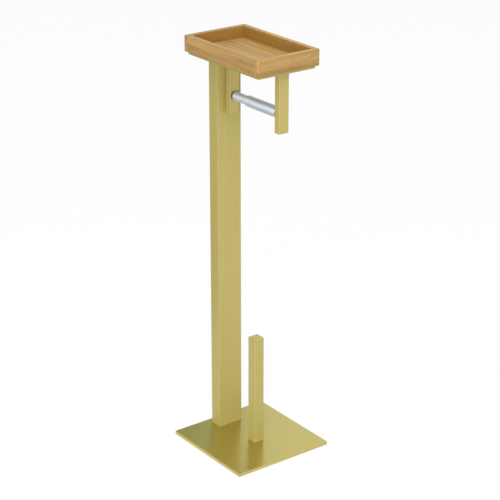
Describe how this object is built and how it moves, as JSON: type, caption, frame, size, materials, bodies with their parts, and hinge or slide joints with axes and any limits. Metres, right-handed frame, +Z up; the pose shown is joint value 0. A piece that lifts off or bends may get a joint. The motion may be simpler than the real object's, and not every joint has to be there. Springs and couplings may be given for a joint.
{
  "type": "toilet roll storage holder",
  "caption": "Free-standing toilet roll stand: flat column on a square base, sprung roller between two arms under a wooden tray, and a low square post for spare rolls.",
  "frame": {"origin": "on the floor under the middle of the square base plate", "axes": "+Z up, -Y the front, where the free arm hangs, +X to the right as seen from the front"},
  "size_m": [0.2, 0.208, 0.75],
  "materials": {
    "brushed_brass": "brass-coloured, brushed lengthwise, satin",
    "plain_steel": "as machined",
    "zinc_steel": "zinc plated",
    "oak": "oiled, matt",
    "foot_rubber": "matt",
    "black_nylon": "matt moulded",
    "chrome_tube": "polished",
    "spring_steel": "bright wire"
  },
  "bodies": {
    "stand": {"base_plate": "brushed_brass", "column_tube": "brushed_brass", "spare_roll_post": "brushed_brass", "post_end_cap": "brushed_brass", "support_pan": "brushed_brass", "rear_arm": "brushed_brass", "rear_arm_end_cap": "brushed_brass", "front_arm": "brushed_brass", "front_arm_end_cap": "brushed_brass", "column_foot_block": "plain_steel", "column_head_block": "plain_steel", "post_foot_block": "plain_steel", "rear_arm_head_block": "plain_steel", "front_arm_head_block": "plain_steel", "column_foot_screws": "zinc_steel", "column_head_screws": "zinc_steel", "post_foot_screw": "zinc_steel", "arm_head_screws": "zinc_steel", "tray_screws": "zinc_steel", "tray_floor": "oak", "tray_left_rail": "oak", "tray_right_rail": "oak", "tray_front_rail": "oak", "tray_back_rail": "oak", "foot_front_left": "foot_rubber", "foot_front_right": "foot_rubber", "foot_back_left": "foot_rubber", "foot_back_right": "foot_rubber", "rear_arm_bush": "black_nylon", "front_arm_bush": "black_nylon"},
    "roller_outer": {"roller_outer_sleeve": "chrome_tube", "roller_outer_end": "black_nylon", "roller_spring": "spring_steel"},
    "roller_inner": {"roller_inner_sleeve": "chrome_tube", "roller_inner_end": "black_nylon"}
  },
  "joints": [
    {"name": "roller_spin", "type": "hinge", "parent": "stand", "child": "roller_outer", "pos_m": [0, 0, 0.646], "axis": [0, 1, 0], "continuous": true},
    {"name": "roller_telescope", "type": "slide", "parent": "roller_outer", "child": "roller_inner", "axis": [0, -1, 0], "range_m": [0, 0.02], "stiffness_N_per_m": 300, "springref_m": -0.02, "deforming": ["roller_spring"]}
  ]
}
